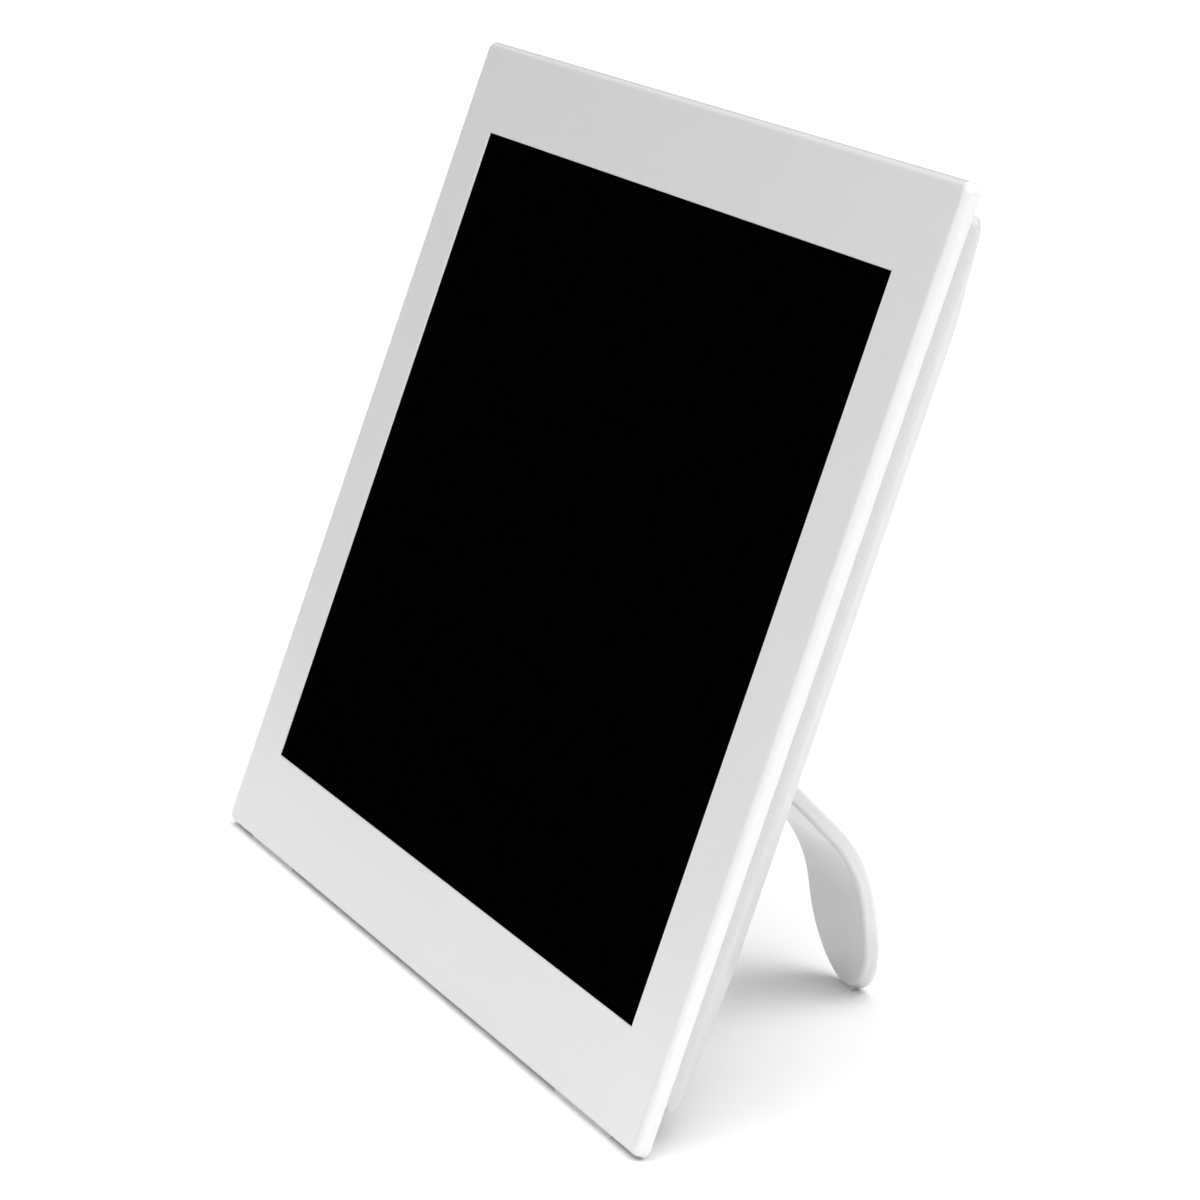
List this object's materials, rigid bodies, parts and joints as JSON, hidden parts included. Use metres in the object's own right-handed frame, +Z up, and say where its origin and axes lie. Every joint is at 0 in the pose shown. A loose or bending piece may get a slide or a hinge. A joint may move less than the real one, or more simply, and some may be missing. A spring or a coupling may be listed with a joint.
{
  "type": "digital photo frame",
  "caption": "Digital photo frame with a wide white bezel round a black screen, leaning back on a curved swivel leg.",
  "frame": {"origin": "middle of the bounding box's base, on the surface the frame stands on", "axes": "+X to the right as the screen is faced, +Y away from the viewer, +Z up; the screen faces -Y and leans back 20 degrees"},
  "size_m": [0.2612, 0.0804, 0.1698],
  "materials": {
    "white_plastic": "satin moulded, very light neutral grey-white",
    "button_plastic": "satin moulded, light grey-white",
    "screen_lens": "smooth gloss, black when the screen is off",
    "adhesive_tape": "matt black double-sided tape",
    "foam": "closed-cell black foam",
    "sheet_steel": "bright zinc-plated sheet",
    "sheet_aluminium": "satin sheet",
    "lcd_glass": "dark polarised glass",
    "films": "translucent white film",
    "acrylic": "clear acrylic plate",
    "led_board": "white lacquered strip",
    "circuit_board": "green solder mask",
    "chip_black": "matt moulded black",
    "chip_grey": "matt pressed ferrite",
    "capacitor_can": "bright can",
    "flex_film": "amber polyimide film",
    "brass": "turned",
    "screw_steel": "plated",
    "screw_dark": "black oxide",
    "socket_plastic": "natural moulded",
    "port_black": "moulded black",
    "cell_steel": "bright can",
    "speaker_black": "moulded black with paper cone",
    "cable_sheath": "matt sheath",
    "pale_rubber": "pale translucent grey, matt",
    "nylon": "natural nylon"
  },
  "bodies": {
    "frame": {"front_bezel": "white_plastic", "cover_lens": "screen_lens", "lens_tape": "adhesive_tape", "lcd_gasket": "foam", "lcd_front_frame": "sheet_steel", "lcd_glass": "lcd_glass", "optical_films": "films", "light_guide": "acrylic", "led_strip": "led_board", "reflector_sheet": "films", "lcd_back_plate": "sheet_aluminium", "lcd_driver_board": "circuit_board", "lcd_driver_chips": "chip_black", "display_flex": "flex_film", "chassis_plate": "sheet_steel", "chassis_screws": "screw_steel", "board_standoffs": "brass", "board_screws": "screw_steel", "main_board": "circuit_board", "processor": "chip_black", "heat_spreader": "sheet_aluminium", "memory_chips": "chip_black", "power_inductors": "chip_grey", "capacitors": "capacitor_can", "wifi_module": "sheet_steel", "wifi_antenna": "flex_film", "wire_sockets": "socket_plastic", "flex_connector": "socket_plastic", "coin_cell": "cell_steel", "coin_cell_holder": "chip_black", "dc_jack": "port_black", "audio_jack": "port_black", "usb_port": "screw_steel", "card_slot": "sheet_steel", "key_board": "circuit_board", "key_switches": "chip_black", "key_screws": "screw_steel", "left_speaker": "speaker_black", "right_speaker": "speaker_black", "speaker_gaskets": "foam", "left_speaker_cable": "cable_sheath", "right_speaker_cable": "cable_sheath", "key_cable": "cable_sheath", "backlight_cable": "cable_sheath", "antenna_cable": "cable_sheath", "rear_cover": "white_plastic", "cover_screws": "screw_dark", "screw_plugs": "white_plastic", "grip_strips": "pale_rubber"},
    "leg": {"swivel_leg": "white_plastic", "leg_tip_pad": "pale_rubber", "hub_retainer": "sheet_steel", "hub_friction_washer": "nylon", "hub_screw": "screw_steel"},
    "enter_button": {"enter_button": "button_plastic"},
    "down_button": {"down_button": "button_plastic"},
    "up_button": {"up_button": "button_plastic"},
    "back_button": {"back_button": "button_plastic"},
    "menu_button": {"menu_button": "button_plastic"},
    "power_button": {"power_button": "button_plastic"}
  },
  "joints": [
    {"name": "leg_swivel", "type": "hinge", "parent": "frame", "child": "leg", "pos_m": [0.038, -0.0015, 0.06599], "axis": [0, -0.9397, 0.342], "range_deg": [0, 90]},
    {"name": "enter_button_press", "type": "slide", "parent": "frame", "child": "enter_button", "axis": [0, -0.9397, 0.342], "range_m": [0, 0.0004], "stiffness_N_per_m": 900},
    {"name": "down_button_press", "type": "slide", "parent": "frame", "child": "down_button", "axis": [0, -0.9397, 0.342], "range_m": [0, 0.0004], "stiffness_N_per_m": 900},
    {"name": "up_button_press", "type": "slide", "parent": "frame", "child": "up_button", "axis": [0, -0.9397, 0.342], "range_m": [0, 0.0004], "stiffness_N_per_m": 900},
    {"name": "back_button_press", "type": "slide", "parent": "frame", "child": "back_button", "axis": [0, -0.9397, 0.342], "range_m": [0, 0.0004], "stiffness_N_per_m": 900},
    {"name": "menu_button_press", "type": "slide", "parent": "frame", "child": "menu_button", "axis": [0, -0.9397, 0.342], "range_m": [0, 0.0004], "stiffness_N_per_m": 900},
    {"name": "power_button_press", "type": "slide", "parent": "frame", "child": "power_button", "axis": [0, -0.9397, 0.342], "range_m": [0, 0.0004], "stiffness_N_per_m": 900}
  ]
}
